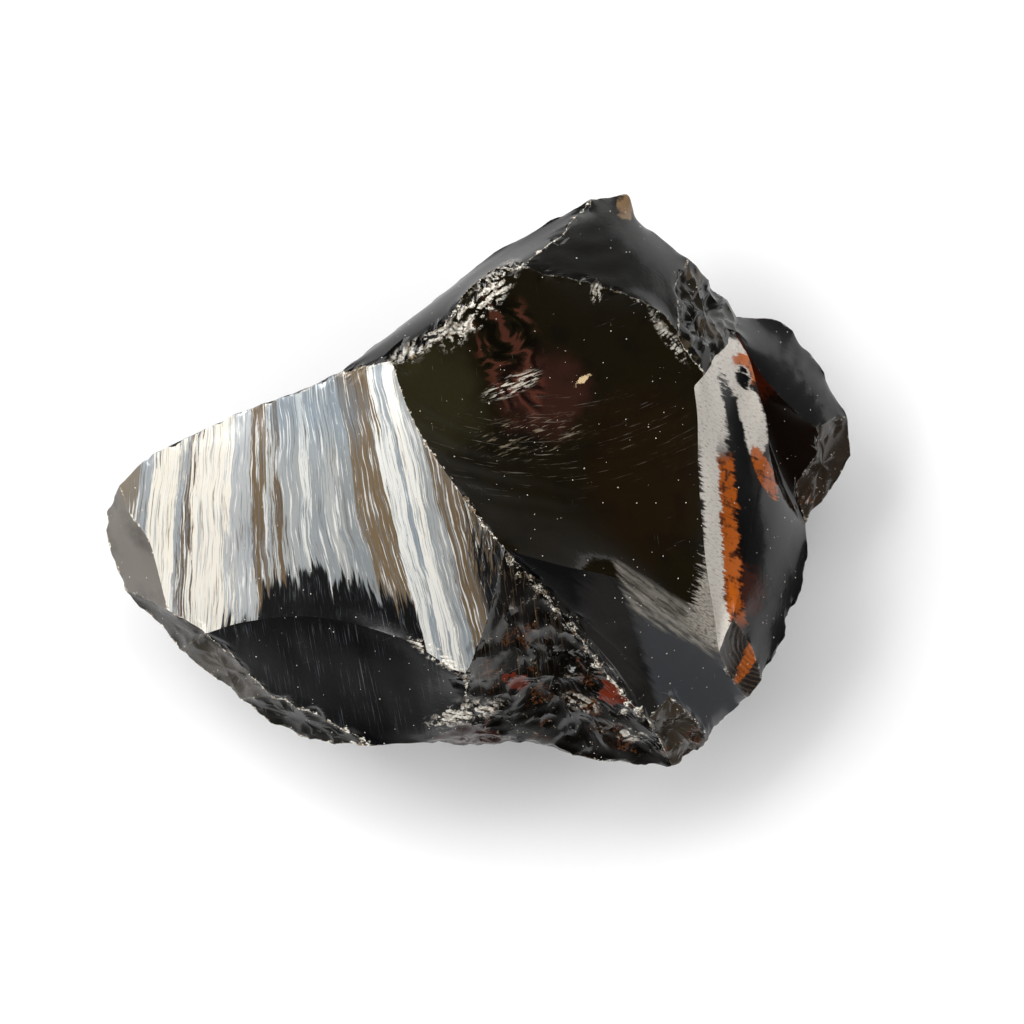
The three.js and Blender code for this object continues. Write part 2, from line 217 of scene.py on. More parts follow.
# How deep the bites along a crease are, in millimetres, and how pale its crushed rim is, with its painted glints.
# Others take PLAIN_EDGE.
PLAIN_EDGE = (0.16, 0.35)
EDGES = {
    "ridge_mid ridge_low": (0.3, 1.9), "ridge_low ridge_foot": (0.35, 1.8), "ridge_high ridge_mid": (0.3, 0.9),
    "ridge_top ridge_high": (0.12, 0.55), "brow ridge_top": (0.2, 0.8), "ridge_top arc_left": (0.4, 1.0),
    "arc_left apex": (0.2, 0.7), "arc_left arc_right": (0.28, 0.35), "arc_right arc_end": (0.35, 0.7),
    "arc_right top_right": (0.4, 0.5), "saddle lip_top": (0.4, 0.8), "bevel_3 keel": (0.3, 0.8),
    "bevel_1 bevel_2": (0.2, 0.6), "bevel_2 bevel_3": (0.25, 0.6), "shoulder brow": (0.22, 0.4),
    "west_top bevel_1": (0.08, 0.45), "tip_1 slope_foot": (0.3, 0.5), "ridge_foot tip": (0.4, 0.6),
    "right_1 right_2": (0.35, 0.35), "right_2 leaf_low": (0.45, 0.35), "slope_foot tip": (0.4, 0.5),
    "leaf_foot slope_foot": (0.4, 0.4), "tip under_1": (0.35, 0.5), "under_1 lip_right": (0.35, 0.5),
    "lobe_4 notch_low": (0.4, 0.4), "edge_top leaf_left": (0.05, 0.2), "beak crest_mid": (0.06, 0.2),
    "strip_4 strip_3": (0.25, 0.6), "strip_3 strip_2": (0.25, 0.6), "strip_2 strip_1": (0.25, 0.6),
    "strip_1 keel": (0.25, 0.6), "west_tip strip_4": (0.2, 0.5), "beak lobe_corner": (0.08, 0.25),
}

STEP = 0.31            # distance between points along a crease, and between rings in a face that shows
HIDDEN_STEP = 0.55     # distance between rings in a face of the hidden side
FIRST_RING = 0.13      # how far the outermost ring lies inside the creases
RING_GROWTH = 1.25     # how fast the rings spread from there
BITE_EVERY = 1.3       # distance between the bites along a crease
SWAY = 0.8             # how far a crease of the hidden side strays from its drawn line
SWAY_SIZE = 5.0
FAR = 9.0              # stands for the distance of a point with no sharp crease near it
BATCH = 2000           # how many distances to a ring are worked out at a time
SEED = 41


# ---------------------------------------------------------------- steady noise and curves

def cell_value(cells, seed):
    """A fixed number from 0 to 1 for each cell: its three counts are mixed by multiplying and shifting."""
    c = cells.astype(np.int64).astype(np.uint32)
    mixed = c[..., 0] * np.uint32(0x8DA6B343) ^ c[..., 1] * np.uint32(0xD8163841) ^ c[..., 2] * np.uint32(0xCB1AB31F)
    mixed ^= np.uint32(seed * 7919 + 13)
    for shift, factor in ((15, 0x2C1B3C6D), (12, 0x297A2D39), (15, 0x5BD1E995)):
        mixed = (mixed ^ mixed >> np.uint32(shift)) * np.uint32(factor)
    return (mixed >> np.uint32(8)) / float(1 << 24)


def noise(points, size, seed=0):
    """Smooth noise from -1 to 1: the values at the eight corners of each cell, blended by an S-curve on each side."""
    scaled = points / size
    low = np.floor(scaled)
    part = scaled - low
    part = part * part * (3 - 2 * part)
    total = np.zeros(points.shape[:-1])
    for corner in np.ndindex(2, 2, 2):
        share = np.prod(np.where(corner, part, 1 - part), axis=-1)
        total += share * cell_value(low + corner, seed)
    return 2 * total - 1


def ease(value, start, end):
    """0 below start, 1 above end, and an S-curve between them."""
    t = np.clip((value - start) / (end - start), 0, 1)
    return t * t * (3 - 2 * t)


def crease_curve(stops, step):
    """Evenly spaced points on a smooth curve: each span is a cubic whose slope at a stop is half the way
    from the stop before to the stop after."""
    stops = np.array(stops, float)
    if len(stops) == 2:
        t = np.linspace(0, 1, max(1, round(np.linalg.norm(stops[1] - stops[0]) / step)) + 1)[:, None]
        return stops[0] * (1 - t) + stops[1] * t
    before, after = 2 * stops[0] - stops[1], 2 * stops[-1] - stops[-2]
    run = np.vstack([before, stops, after])
    a, b, c, d = (run[i:len(run) - 3 + i, None] for i in range(4))
    t = np.linspace(0, 1, 24, endpoint=False)[None, :, None]
    fine = 0.5 * (2 * b + (c - a) * t + (2 * a - 5 * b + 4 * c - d) * t ** 2 + (3 * b - a - 3 * c + d) * t ** 3)
    fine = np.vstack([fine.reshape(-1, 3), stops[-1:]])
    way = np.concatenate([[0], np.cumsum(np.linalg.norm(np.diff(fine, axis=0), axis=1))])
    even = np.linspace(0, way[-1], max(2, round(way[-1] / step)) + 1)
    return np.stack([np.interp(even, way, fine[:, i]) for i in range(3)], axis=1)


# ---------------------------------------------------------------- the stone's surface

def sides_of(names):
    """The creases round a face, each as its two corners in order."""
    names = names.split()
    return list(zip(names, names[1:] + names[:1]))


def crease_line(start, end):
    """The smooth line of a crease as drawn, before anything is bitten out of it."""
    bends = BENDS.get(f"{start} {end}") or BENDS.get(f"{end} {start}", [])[::-1]
    return crease_curve([CORNERS[start], *bends, CORNERS[end]], STEP)


def edge_facts(start, end):
    """How deep the bites of a crease are and how pale its rim of crushed glass and painted glints is. A gentle crease
    has neither.
    """
    for crease in (f"{start} {end}", f"{end} {start}"):
        if crease in GENTLE:
            return 0.0, 0.0
        if crease in EDGES:
            return EDGES[crease]
    return PLAIN_EDGE


def is_hidden(name):
    return name.startswith("back") or name == "base"


def nearest(places, ring):
    """How far each place is from the nearest point of a ring, and which point that is."""
    away, which = np.empty(len(places)), np.empty(len(places), int)
    for part in np.array_split(np.arange(len(places)), max(1, len(places) // BATCH)):
        gaps = np.linalg.norm(places[part, None] - ring[None], axis=2)
        away[part], which[part] = gaps.min(axis=1), gaps.argmin(axis=1)
    return away, which


def rough_normals():
    """Each face's outward direction: half the sum of the cross products of its neighbouring corners."""
    facing = {}
    for name, (_, names) in FACES.items():
        ring = np.array([CORNERS[corner] for corner in names.split()], float)
        area = np.cross(ring, np.roll(ring, -1, axis=0)).sum(axis=0)
        facing[name] = area / np.linalg.norm(area)
    return facing


class Stone:
    """The stone as one closed mesh, built face by face over shared creases."""

    def __init__(self):
        self.points = [np.array(place, float) for place in CORNERS.values()]
        self.number = {name: i for i, name in enumerate(CORNERS)}
        self.creases = {}
        self.rng = np.random.default_rng(SEED)
        self.triangles, self.names, self.rims = [], [], []
        self.region, self.area, self.sides = {}, {}, {}
        for name, (_, names) in FACES.items():
            for side in sides_of(names):
                self.sides.setdefault(frozenset(side), []).append(name)
        self.facing = rough_normals()

    def crease(self, start, end):
        """The numbers of a crease's points from one corner to the other. A crease of the hidden side sways with
        smooth noise. Every line is bitten inwards by arches: each bite is a parabola along the crease, and the
        deepest one counts."""
        if (start, end) in self.creases:
            return self.creases[start, end]
        line = crease_line(start, end)
        depth, _ = edge_facts(start, end)
        way = np.arange(len(line)) * STEP
        sides = self.sides[frozenset((start, end))]
        if all(is_hidden(side) for side in sides):
            pinned = ease(np.minimum(way, way[-1] - way), 0, 2.5)[:, None]
            sway = np.stack([noise(line, SWAY_SIZE, seed) for seed in (51, 52, 53)], axis=1)
            line = line + pinned * sway * (SWAY, SWAY, 0 if "base" in sides else SWAY)
        inward = -sum(self.facing[side] for side in sides)
        inward /= np.linalg.norm(inward)
        if depth and len(line) > 4:
            count = max(2, int(way[-1] / BITE_EVERY))
            middle = self.rng.uniform(0, way[-1], count)
            half = self.rng.uniform(0.4, 1.5, count)
            deep = self.rng.uniform(0.2, 1.0, count) ** 1.5 * depth
            arches = deep * (1 - ((way[:, None] - middle) / half) ** 2)
            bitten = np.maximum(arches.max(axis=1), 0)
            bitten += depth * 0.25 * noise(line, 0.7, 5)
            bitten *= ease(np.minimum(way, way[-1] - way), 0, 0.8)
            line = line + bitten[:, None] * inward
        first = len(self.points)
        self.points.extend(line[1:-1])
        ids = [self.number[start], *range(first, first + len(line) - 2), self.number[end]]
        self.creases[start, end], self.creases[end, start] = ids, ids[::-1]
        return ids

    def stretch(self, name, swell, names):
        """Fills one face. The loop of its creases is a sum of waves round the loop, and a ring at a share s of
        the way from the middle keeps s to the power of a wave's turns of it. The swell, times one less the
        square of s, lifts the middle. Small undulations and the face's own ripples are added away from the rim."""
        loop, crushed = [], []
        for start, end in sides_of(names):
            ids = self.crease(start, end)[:-1]
            loop += ids
            crushed += [edge_facts(start, end)[1]] * len(ids)
        ring = np.array([self.points[i] for i in loop])
        count = len(loop)
        area = np.cross(ring, np.roll(ring, -1, axis=0)).sum(axis=0) / 2
        size = np.linalg.norm(area)
        out = area / size
        reach = 2 * size / np.linalg.norm(np.roll(ring, -1, axis=0) - ring, axis=1).sum()
        widest = HIDDEN_STEP if is_hidden(name) else STEP
        depths, step = [FIRST_RING], FIRST_RING
        while depths[-1] + step < reach - widest * 0.6:
            step = min(step * RING_GROWTH, widest)
            depths.append(depths[-1] + step)
        shares = 1 - np.array(depths[:-1]) / reach
        waves = np.fft.fft(ring, axis=0)
        turns = np.abs(np.fft.fftfreq(count) * count)
        fade = shares[:, None] ** turns
        rings = np.fft.ifft(waves[None] * fade[..., None], axis=1).real
        rings += out * (swell * (1 - shares ** 2))[:, None, None]
        inner = np.vstack([rings.reshape(-1, 3), waves[0].real / count + out * swell])
        inner += out * self.relief(name, inner, ring)[:, None]
        first = len(self.points)
        self.points.extend(inner)
        grid = np.vstack([loop, first + np.arange(len(shares) * count).reshape(-1, count)])
        a, b = grid[:-1], np.roll(grid[:-1], -1, axis=1)
        c, d = grid[1:], np.roll(grid[1:], -1, axis=1)
        hub = np.full(count, first + len(inner) - 1)
        parts = [np.stack([a, b, d], -1).reshape(-1, 3), np.stack([a, d, c], -1).reshape(-1, 3),
                 np.stack([grid[-1], np.roll(grid[-1], -1), hub], -1)]
        self.triangles.append(np.vstack(parts))
        self.names.append(name)
        # distance from every point of the face to the nearest crease with an edge, and how crushed that edge is
        place = np.vstack([ring, inner])
        near, crush = np.full(len(place), FAR), np.zeros(len(place))
        crushed = np.array(crushed)
        if crushed.any():
            near, which = nearest(place, ring[crushed > 0])
            crush = crushed[crushed > 0][which]
        self.rims.append((np.append(grid.ravel(), hub[0]), near, crush))
        self.region[name] = np.arange(first, first + len(inner))
        self.area[name] = size

    def relief(self, name, place, ring):
        """How far each point of a face stands out: soft undulations of 5 and 1.7 mm, more of 7 mm and waves from
        the blow on the hidden side, and the face's own ripples. All fade to nothing at the creases."""
        if name == "base":
            return np.zeros(len(place))
        rise = 0.10 * noise(place, 5.0, 1) + 0.022 * noise(place, 1.7, 2)
        if is_hidden(name):
            rise += 0.30 * noise(place, 7.0, 3) + blow_waves(place, ring[BLOWS[name] % len(ring)])
        if name in RIPPLES:
            rise += RIPPLES[name](place)
        return rise * ease(nearest(place, ring[::2])[0], 0.0, 1.4)


def ribs(place):
    """Ribs that lean a little to the right as they run down: stretched noise across them, 0.6 to 3 mm wide."""
    x, y = place[:, 0], place[:, 1]
    across = x + (0.30 * ease(x, -25.0, -5.0) - 0.06) * y
    lane = np.stack([across, y * 0.06, np.zeros_like(x)], axis=1)
    return 0.10 * noise(lane, 2.4, 11) + 0.05 * noise(lane, 0.9, 12)


def fibres(place):
    """Fine upright fibres, 0.4 to 1 mm wide, that fan out downwards."""
    x, y = place[:, 0], place[:, 1]
    lane = np.stack([x + 0.22 * (y + 8) * ease(x, 0, 8), y * 0.14, np.zeros_like(x)], axis=1)
    return 0.09 * noise(lane, 0.9, 31) + 0.04 * noise(lane, 0.45, 32)


def shell_waves(centre, spacing, height, inner, outer):
    """Waves in circles round the point where the blow fell, from an inner to an outer radius: a sine of the way
    from that point, made a little uneven by smooth noise."""
    def wave(place):
        away = np.linalg.norm(place[:, :2] - np.array(centre), axis=1)
        turn = away / spacing + 0.35 * noise(place, 4.0, 21)
        band = ease(away, inner, inner + 2 * spacing) * (1 - ease(away, outer - 2 * spacing, outer))
        return height * np.sin(2 * np.pi * turn) * band
    return wave


def blow_waves(place, blow):
    """Waves in spheres round the point of the rim where the blow fell: a sine of three times the root of the way
    from it, so that they are close by it and broad further off."""
    away = np.linalg.norm(place - blow, axis=1)
    turn = 3.0 * np.sqrt(away) + 0.3 * noise(place, 3.0, 22)
    return 0.09 * ease(away, 1.0, 6.0) * np.sin(2 * np.pi * turn)


BOWL_BLOW, LEAF_BLOW = (7.4, 27.0), (24.0, -13.0)
# Which point of each hidden face's rim its blow fell on.
BLOWS = {
    "back_ribbed": 12, "back_west": 30, "back_strip": 20, "back_keel": 70, "back_tip": 45, "back_slope": 40,
    "back_right": 10, "back_lobe": 90, "back_top": 130, "back_flank": 60, "back_brow": 5,
}
RIPPLES = {
    "ribbed": ribs,
    "black_foot": ribs,
    "crumbled": fibres,
    "bowl": shell_waves(BOWL_BLOW, 1.5, 0.035, 19.0, 31.0),
    "leaf": shell_waves(LEAF_BLOW, 0.5, 0.03, 0.6, 5.5),
    "top": shell_waves((9.0, 24.0), 1.8, 0.02, 1.0, 14.0),
    "slope": shell_waves((2.0, -5.0), 2.4, 0.03, 4.0, 26.0),
    "lobe_top": shell_waves((22.0, 13.0), 1.3, 0.02, 1.0, 12.0),
}


def scar_list(stone, points):
    """Small shell-shaped scars: where each lies, which way it faces, its radius and its depth."""
    rng = np.random.default_rng(SEED + 1)
    spots = []
    for name, (per_area, radius, depth) in CRUMBLED.items():
        ids = stone.region[name]
        for i in rng.choice(ids, int(per_area * stone.area[name])):
            facing = stone.facing[name] + rng.normal(0, 0.3, 3)
            spots.append((points[i], facing, rng.uniform(*radius), rng.uniform(*depth)))
    for crease, (spacing, radius, depth) in CHIPPED.items():
        start, end = crease.split()
        ids = stone.creases[start, end]
        facing = sum(stone.facing[side] for side in stone.sides[frozenset((start, end))])
        facing /= np.linalg.norm(facing)
        for i in rng.choice(ids, int(len(ids) * STEP / spacing)):
            lean = facing + rng.normal(0, 0.35, 3)
            spots.append((points[i] + rng.normal(0, 0.2, 3), lean, rng.uniform(*radius), rng.uniform(*depth)))
    return spots


# Faces that are all small scars: scars per square millimetre, and the range of their radius and depth.
CRUMBLED = {
    "crumbled": (0.55, (0.8, 4.2), (0.05, 0.26)),
    "tip_chips": (1.3, (0.7, 2.2), (0.08, 0.28)),
    "smoky_chips": (1.2, (0.8, 2.4), (0.08, 0.3)),
    "lobe_end": (0.6, (0.9, 2.6), (0.05, 0.16)),
    "bevel_strip_1": (0.4, (1.6, 3.6), (0.05, 0.18)),
    "bevel_strip_2": (0.5, (1.4, 3.4), (0.05, 0.2)),
    "bevel_strip_3": (0.6, (1.2, 3.2), (0.05, 0.2)),
    "lip": (0.9, (0.8, 2.2), (0.06, 0.2)),
    "back_strip": (0.06, (2.5, 6.0), (0.1, 0.35)),
    "back_keel": (0.06, (2.5, 6.0), (0.1, 0.35)),
    "back_right": (0.06, (2.5, 6.0), (0.1, 0.35)),
}
# Creases with a row of scars: their spacing in millimetres, and the range of their radius and depth.
CHIPPED = {
    "ridge_mid ridge_low": (0.35, (0.5, 1.6), (0.06, 0.24)),
    "ridge_low ridge_foot": (0.35, (0.5, 1.6), (0.06, 0.26)),
    "ridge_high ridge_mid": (0.6, (0.5, 1.3), (0.05, 0.18)),
    "ridge_top arc_left": (0.35, (0.7, 2.2), (0.1, 0.4)),
    "brow ridge_top": (0.6, (0.5, 1.4), (0.06, 0.2)),
    "arc_left apex": (0.7, (0.5, 1.5), (0.06, 0.2)),
    "arc_left arc_right": (0.7, (0.5, 1.5), (0.06, 0.2)),
    "arc_right arc_end": (0.45, (0.6, 1.5), (0.08, 0.26)),
    "saddle lip_top": (0.4, (0.6, 1.8), (0.08, 0.3)),
    "shoulder brow": (0.9, (0.6, 1.6), (0.05, 0.18)),
    "right_2 leaf_low": (0.7, (0.6, 1.8), (0.08, 0.3)),
    "leaf_foot slope_foot": (0.6, (0.6, 1.6), (0.08, 0.26)),
    "slope_foot tip": (0.6, (0.6, 1.6), (0.08, 0.26)),
    "tip_1 slope_foot": (0.6, (0.6, 1.5), (0.08, 0.24)),
    "under_1 lip_right": (0.6, (0.6, 1.8), (0.08, 0.28)),
    "tip under_1": (0.6, (0.6, 1.8), (0.08, 0.3)),
    "bevel_2 bevel_3": (0.8, (0.6, 1.4), (0.05, 0.16)),
    "bevel_3 keel": (0.6, (0.6, 1.4), (0.05, 0.2)),
    "lobe_corner notch_low": (0.8, (0.6, 1.5), (0.06, 0.22)),
}


def cut_scars(points, spots):
    """Pushes the points that a scar's sphere covers back along its facing, towards the sphere's far wall: the way
    is p.n + sqrt(r r - p.p + p.n p.n), with p from the sphere's middle, n the facing and r the radius. It is kept
    to little more than the scar's depth, and fades beyond the scar's own rim, so that no neighbour is torn."""
    for place, facing, radius, depth in spots:
        facing = facing / np.linalg.norm(facing)
        middle = place + facing * (radius - depth)
        near = np.flatnonzero(np.abs(points - middle).max(axis=1) < radius)
        away = points[near] - middle
        along = away @ facing
        square = (away ** 2).sum(axis=1)
        aside = np.sqrt(np.maximum(square - along ** 2, 0))
        rim = math.sqrt(2 * radius * depth)
        inside = (square < radius ** 2) & (aside < 1.4 * rim)
        near, along, aside, square = near[inside], along[inside], aside[inside], square[inside]
        push = np.minimum(along + np.sqrt(radius ** 2 - square + along ** 2), 1.5 * depth)
        points[near] -= facing * (push * (1 - ease(aside, rim, 1.4 * rim)))[:, None]
    return points


def drawn_box():
    """The lowest and highest corners of the stone as drawn, before any crease is bitten."""
    line = np.vstack([crease_line(*side) for _, names in FACES.values() for side in sides_of(names)])
    return line.min(axis=0), line.max(axis=0)


def build_stone():
    """The stone's mesh, in metres in the frame, with what the finish needs to know at every face corner."""
    stone = Stone()
    for name, (swell, names) in FACES.items():
        stone.stretch(name, swell, names)
    points = np.array(stone.points)
    points = cut_scars(points, scar_list(stone, points))
    points[:, 2] = np.where(points[:, 2] < 0.02, 0, points[:, 2])
    triangles = np.vstack(stone.triangles)

    low, high = drawn_box()
    middle = (low + high) / 2
    placed = (points - [middle[0], middle[1], low[2]]) * MM + [CAD_MIDDLE[0], CAD_MIDDLE[1], CAD_LOW[2]]
    mesh = bpy.data.meshes.new("obsidian_stone")
    mesh.from_pydata(placed.tolist(), [], triangles.tolist())
    mesh.polygons.foreach_set("use_smooth", np.ones(len(triangles), bool))
    mesh.set_sharp_from_angle(angle=math.radians(SHARP_ANGLE))

    # one value for each corner of each triangle, so that a zone ends exactly at its crease
    tone = np.zeros((len(triangles) * 3, 4))
    zone_a, zone_b, rim = np.zeros_like(tone), np.zeros_like(tone), np.zeros_like(tone)
    start = 0
    near_of, crush_of = np.zeros(len(points)), np.zeros(len(points))
    for name, part, (ids, near, crush) in zip(stone.names, stone.triangles, stone.rims):
        near_of[ids], crush_of[ids] = near, crush
        corners = part.ravel()
        rows = slice(start, start + len(corners))
        colour, roughness = TONES.get(name, BACK_TONE)
        tone[rows] = [*(linear(c) for c in colour), roughness]
        rim[rows, 0], rim[rows, 1] = near_of[corners], crush_of[corners]
        rim[rows, 2], rim[rows, 3] = name == "black_foot", name in TONES
        for row, zones in ((zone_a, ZONES_A), (zone_b, ZONES_B)):
            for channel, members in enumerate(zones):
                row[rows, channel] = name in members
        start += len(corners)
    for label, values in (("tone", tone), ("zone_a", zone_a), ("zone_b", zone_b), ("rim", rim)):
        layer = mesh.attributes.new(label, "FLOAT_COLOR", "CORNER")
        layer.data.foreach_set("color", values.ravel())
    mesh.update()
    piece = bpy.data.objects.new("obsidian_stone", mesh)
    bpy.context.scene.collection.objects.link(piece)
    return piece


SHARP_ANGLE = 24
# The body colour of each face as a maker would name it, red, green and blue out of 255, and its roughness.
BACK_TONE = ((9, 9, 9), 0.16)
TONES = {
    "ribbed": ((120, 110, 95), 0.3), "black_foot": ((6, 6, 7), 0.16), "bevel_west": ((98, 93, 87), 0.34),
    "bevel_strip_1": ((48, 46, 43), 0.28), "bevel_strip_2": ((60, 56, 50), 0.28),
    "bevel_strip_3": ((22, 21, 19), 0.24), "flank": ((10, 9, 8), 0.26), "bowl": ((21, 17, 8), 0.09),
    "slope": ((11, 11, 13), 0.14), "slope_edge": ((26, 25, 23), 0.16), "top": ((18, 17, 15), 0.2),
    "smoky_chips": ((14, 12, 8), 0.16), "banded": ((30, 28, 27), 0.3), "lens": ((14, 13, 13), 0.15),
    "leaf": ((26, 18, 11), 0.2), "tip_chips": ((52, 45, 37), 0.2), "crumbled": ((9, 7, 5), 0.12),
    "lip": ((40, 19, 13), 0.24), "lobe_top": ((24, 24, 24), 0.2), "lobe_wall": ((22, 9, 4), 0.12),
    "lobe_end": ((44, 35, 27), 0.18),
}
ZONES_A = (("ribbed",), ("bowl",), ("banded", "lens"), ("crumbled", "tip_chips", "lip", "lobe_end"))
ZONES_B = (("slope", "slope_edge"), ("leaf",), ("lobe_wall",), ("smoky_chips",))


def linear(value):
    """A colour channel from 0 to 255 as the linear light that a shader wants."""
    share = value / 255
    return share / 12.92 if share <= 0.04045 else ((share + 0.055) / 1.055) ** 2.4


# ---------------------------------------------------------------- shader maths

class Wire:
    """One output of a shader node, used like a number."""

    def __init__(self, graph, socket):
        self.graph, self.socket = graph, socket

    def math(self, operation, *others):
        values = dict(enumerate((self, *others)))
        return self.graph.node("ShaderNodeMath", {"operation": operation}, values)

    def other(self, name):
        return Wire(self.graph, self.socket.node.outputs[name])

    def __rsub__(self, value):
        return self.graph.node("ShaderNodeMath", {"operation": "SUBTRACT"}, {0: value, 1: self})

    def __add__(self, value): return self.math("ADD", value)
    def __radd__(self, value): return self.math("ADD", value)
    def __sub__(self, value): return self.math("SUBTRACT", value)
    def __mul__(self, value): return self.math("MULTIPLY", value)
    def __rmul__(self, value): return self.math("MULTIPLY", value)
    def __truediv__(self, value): return self.math("DIVIDE", value)
    def __pow__(self, value): return self.math("POWER", value)
    def __gt__(self, value): return self.math("GREATER_THAN", value)
    def __lt__(self, value): return self.math("LESS_THAN", value)


class Graph:
    """The nodes of one material, or of the world."""

    def __init__(self, owner):
        owner.use_nodes = True
        self.tree = owner.node_tree
        self.tree.nodes.clear()

    def node(self, kind, settings=None, sockets=None, out=0):
        """Adds a node: its settings first, a ramp's stops among them, then the value or link of each socket."""
        made = self.tree.nodes.new(kind)
        for name, value in (settings or {}).items():
            if name == "stops":
                ramp = made.color_ramp
                ramp.interpolation = settings.get("interpolation", "LINEAR")
                while len(ramp.elements) < len(value):
                    ramp.elements.new(1.0)
                for element, (place, colour) in zip(ramp.elements, value):
                    element.position, element.color = place, (*colour, 1)
            elif name != "interpolation":
                setattr(made, name, value)
        for name, value in (sockets or {}).items():
            if isinstance(value, Wire):
                self.tree.links.new(value.socket, made.inputs[name])
            else:
                made.inputs[name].default_value = value
        return Wire(self, made.outputs[out]) if made.outputs else None

    def vector(self, x, y, z=0.0):
        return self.node("ShaderNodeCombineXYZ", {}, {0: x, 1: y, 2: z})

    def lanes(self, place, detail=3.0, roughness=0.55, distortion=0.0):
        """Noise read at a place made of other values, which stretches it into lanes and streaks."""
        return self.noise(self.vector(*place), 1.0, detail, roughness, distortion)

    def noise(self, place, scale, detail=3.0, roughness=0.55, distortion=0.0):
        sockets = {"Vector": place, "Scale": scale, "Detail": detail, "Roughness": roughness,
                   "Distortion": distortion}
        return self.node("ShaderNodeTexNoise", {}, sockets)

    def cells(self, place, scale, out="Distance"):
        return self.node("ShaderNodeTexVoronoi", {}, {"Vector": place, "Scale": scale}, out)

    def ease(self, value, start, end):
        """0 before start, 1 past end, and an S-curve between them. Start may be the larger."""
        sockets = {"Value": value, "From Min": start, "From Max": end}
        return self.node("ShaderNodeMapRange", {"interpolation_type": "SMOOTHSTEP"}, sockets)

    def mix(self, below, above, share):
        """The colour below, covered by the colour above by a share. A colour may be three numbers out of 255."""
        below, above = (paint(colour) if isinstance(colour, tuple) else colour for colour in (below, above))
        return self.node("ShaderNodeMix", {"data_type": "RGBA"}, {0: share, 6: below, 7: above}, 2)

    def away(self, x, y, point):
        """How far a place is from a point, seen from above."""
        dx, dy = x - point[0], y - point[1]
        return (dx * dx + dy * dy) ** 0.5

    def oval(self, x, y, middle, half, turn=0.0, soft=0.4, ragged=0.0):
        """1 inside a soft-edged oval and 0 outside: the squared way from its middle, counted in half widths."""
        c, s = math.cos(math.radians(turn)), math.sin(math.radians(turn))
        dx, dy = x - middle[0], y - middle[1]
        along, across = (dx * c + dy * s) / half[0], (dy * c - dx * s) / half[1]
        return self.ease(along * along + across * across + ragged, 1 + soft, 1 - soft)


def shade(colour):
    """A colour out of 255 as linear light."""
    return tuple(linear(channel) for channel in colour)


def paint(colour):
    """The same with its fourth channel, which a colour socket wants."""
    return (*shade(colour), 1)


def either(*masks):
    """1 where any of the masks is 1: one less the product of what each leaves clear."""
    clear = 1 - masks[0]
    for mask in masks[1:]:
        clear = clear * (1 - mask)
    return 1 - clear


# ---------------------------------------------------------------- the finish of the glass

def volcanic_glass():
    """Dark glass. Its markings lie at places on the stone, in millimetres, inside the faces that they belong to."""
    material = bpy.data.materials.new("volcanic glass")
    g = Graph(material)
    place = g.node("ShaderNodeTexCoord", {}, {}, "Object")
    mm = g.node("ShaderNodeVectorMath", {"operation": "SCALE"}, {"Vector": place, "Scale": 1 / MM})
    x = g.node("ShaderNodeSeparateXYZ", {}, {0: mm})
    y = x.other("Y")
    tone = g.node("ShaderNodeAttribute", {"attribute_name": "tone"}, {}, "Color")
    ribbed, bowl, banded, crumbled = channels(g, "zone_a")
    slope, leaf, lobe_wall, smoky = channels(g, "zone_b")
    gap, crush, foot, front = channels(g, "rim")

    soft = g.noise(mm, 0.22, 2.0)
    grain = g.noise(mm, 3.5, 3.0)
    colour = g.mix(tone, (8, 8, 8), g.ease(g.noise(mm, 0.35, 3.0), 0.42, 0.75) * 0.55)

    # the ribbed face's sheen, with the soft box's reflection painted into its colour
    sheen_and_reflection_colour, sheen_and_reflection = ribbed_sheen_and_reflection(g, x, y, mm, ribbed)
    colour = g.mix(colour, sheen_and_reflection_colour, ribbed)
    hair = g.lanes((x * 9.0 + y * 1.6, y * 0.22, 11.0), 4.0, 0.65)
    scrape = g.ease(hair, 0.55, 0.72) * g.ease(g.noise(mm, 0.3, 2.0), 0.40, 0.62)
    colour = g.mix(colour, (112, 118, 124), foot * scrape * 0.4)
    colour = bowl_colours(g, colour, bowl, x, y, mm)
    colour = slope_colours(g, colour, slope, bowl, x, y)
    colour, painted_reflection_band = band_colours(g, colour, banded, bowl, x, y)
    colour = leaf_colours(g, colour, leaf, x, y, mm)
    colour = chip_colours(g, colour, crumbled, smoky, lobe_wall, x, y, mm, grain)

    scratches = brushed_scratches(g, x, y, mm)
    colour = g.mix(colour, (120, 120, 120), scratches * (1 - ribbed) * 0.45)
    # crushed glass along chipped creases, with painted glints
    rim, rim_and_glint_colour = crushed_rims_and_glints(g, gap, crush, mm)
    colour = g.mix(colour, rim_and_glint_colour, rim)
    # flake marks, with painted glints
    flakes_and_glints = flake_marks_and_glints(g, x, y, mm) * front
    colour = g.mix(colour, g.mix((236, 231, 220), (150, 138, 120), g.ease(grain, 0.42, 0.62)), flakes_and_glints)
    dust = dust_specks(g, mm)
    colour = g.mix(colour, (206, 200, 188), dust * (front * 0.5 + 0.35))

    matt = either(rim, dust, flakes_and_glints)
    roughness = tone.other("Alpha") + (grain - 0.5) * 0.08 + matt * 0.3 + scratches * 0.12
    metal = (sheen_and_reflection * 0.45 + painted_reflection_band * 0.2) * (1 - matt)
    lumps = g.noise(mm, 1.1, 3.0, 0.5) * 0.5 + grain * 0.25 + soft
    bump = g.node("ShaderNodeBump", {}, {"Strength": 0.22, "Distance": 0.12 * MM, "Height": lumps})
    sockets = {"Base Color": colour, "Roughness": roughness, "Metallic": metal, "IOR": 1.48, "Normal": bump}
    glass = g.node("ShaderNodeBsdfPrincipled", {}, sockets)
    g.node("ShaderNodeOutputMaterial", {}, {"Surface": glass})
    return material


def channels(g, name):
    """The four values that the mesh holds under one name."""
    layer = g.node("ShaderNodeAttribute", {"attribute_name": name}, {}, "Color")
    red = g.node("ShaderNodeSeparateColor", {}, {0: layer})
    return red, red.other("Green"), red.other("Blue"), layer.other("Alpha")


